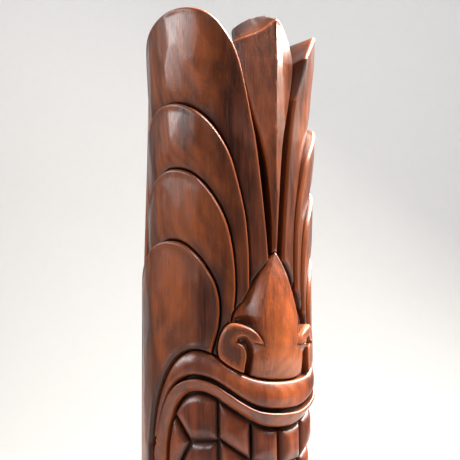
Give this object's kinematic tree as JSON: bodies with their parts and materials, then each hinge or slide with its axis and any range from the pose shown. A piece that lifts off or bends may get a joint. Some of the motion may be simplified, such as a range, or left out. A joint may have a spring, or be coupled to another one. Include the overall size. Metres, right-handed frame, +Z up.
{
  "type": "tiki figure",
  "caption": "Carved hardwood tiki head on a round log: overlapping plume headdress, spade nose with scroll nostrils, wide double-banded lips over domed teeth, plain foot",
  "frame": {"origin": "Centre of the flat underside of the foot, on the axis of the round log, on the surface that the figure stands on.", "axes": "+Z up along the log. The face looks along -Y. +X is to the right of somebody who stands in front of the face, and the nodes named left and right follow that viewer."},
  "size_m": [0.1516, 0.154, 0.5174],
  "materials": {
    "headdress_wood": "reddish-brown stained hardwood, gouge facets, satin lacquer",
    "face_wood": "warm orange-brown stained hardwood, smooth, satin lacquer",
    "lip_wood": "red-brown stained hardwood, rounded cords, satin lacquer",
    "tooth_wood": "red-brown stained hardwood pillows, satin lacquer",
    "heart_wood": "near-black stain in the deep cuts, dull"
  },
  "bodies": {
    "root": {"back_slab": "headdress_wood", "chin": "face_wood", "crest_plume": "headdress_wood", "foot_drum": "headdress_wood", "log_heart": "heart_wood", "lower_lip_inner": "lip_wood", "lower_lip_outer": "lip_wood", "lower_tooth_left_1": "tooth_wood", "lower_tooth_left_2": "tooth_wood", "lower_tooth_left_3": "tooth_wood", "lower_tooth_left_4": "tooth_wood", "lower_tooth_right_1": "tooth_wood", "lower_tooth_right_2": "tooth_wood", "lower_tooth_right_3": "tooth_wood", "lower_tooth_right_4": "tooth_wood", "nose": "face_wood", "nostril_left": "face_wood", "nostril_right": "face_wood", "plume_left_1": "headdress_wood", "plume_left_2": "headdress_wood", "plume_left_3": "headdress_wood", "plume_left_4": "headdress_wood", "plume_right_1": "headdress_wood", "plume_right_2": "headdress_wood", "plume_right_3": "headdress_wood", "plume_right_4": "headdress_wood", "upper_lip_inner": "lip_wood", "upper_lip_outer": "lip_wood", "upper_tooth_left_1": "tooth_wood", "upper_tooth_left_2": "tooth_wood", "upper_tooth_left_3": "tooth_wood", "upper_tooth_left_4": "tooth_wood", "upper_tooth_right_1": "tooth_wood", "upper_tooth_right_2": "tooth_wood", "upper_tooth_right_3": "tooth_wood", "upper_tooth_right_4": "tooth_wood"}
  },
  "joints": []
}
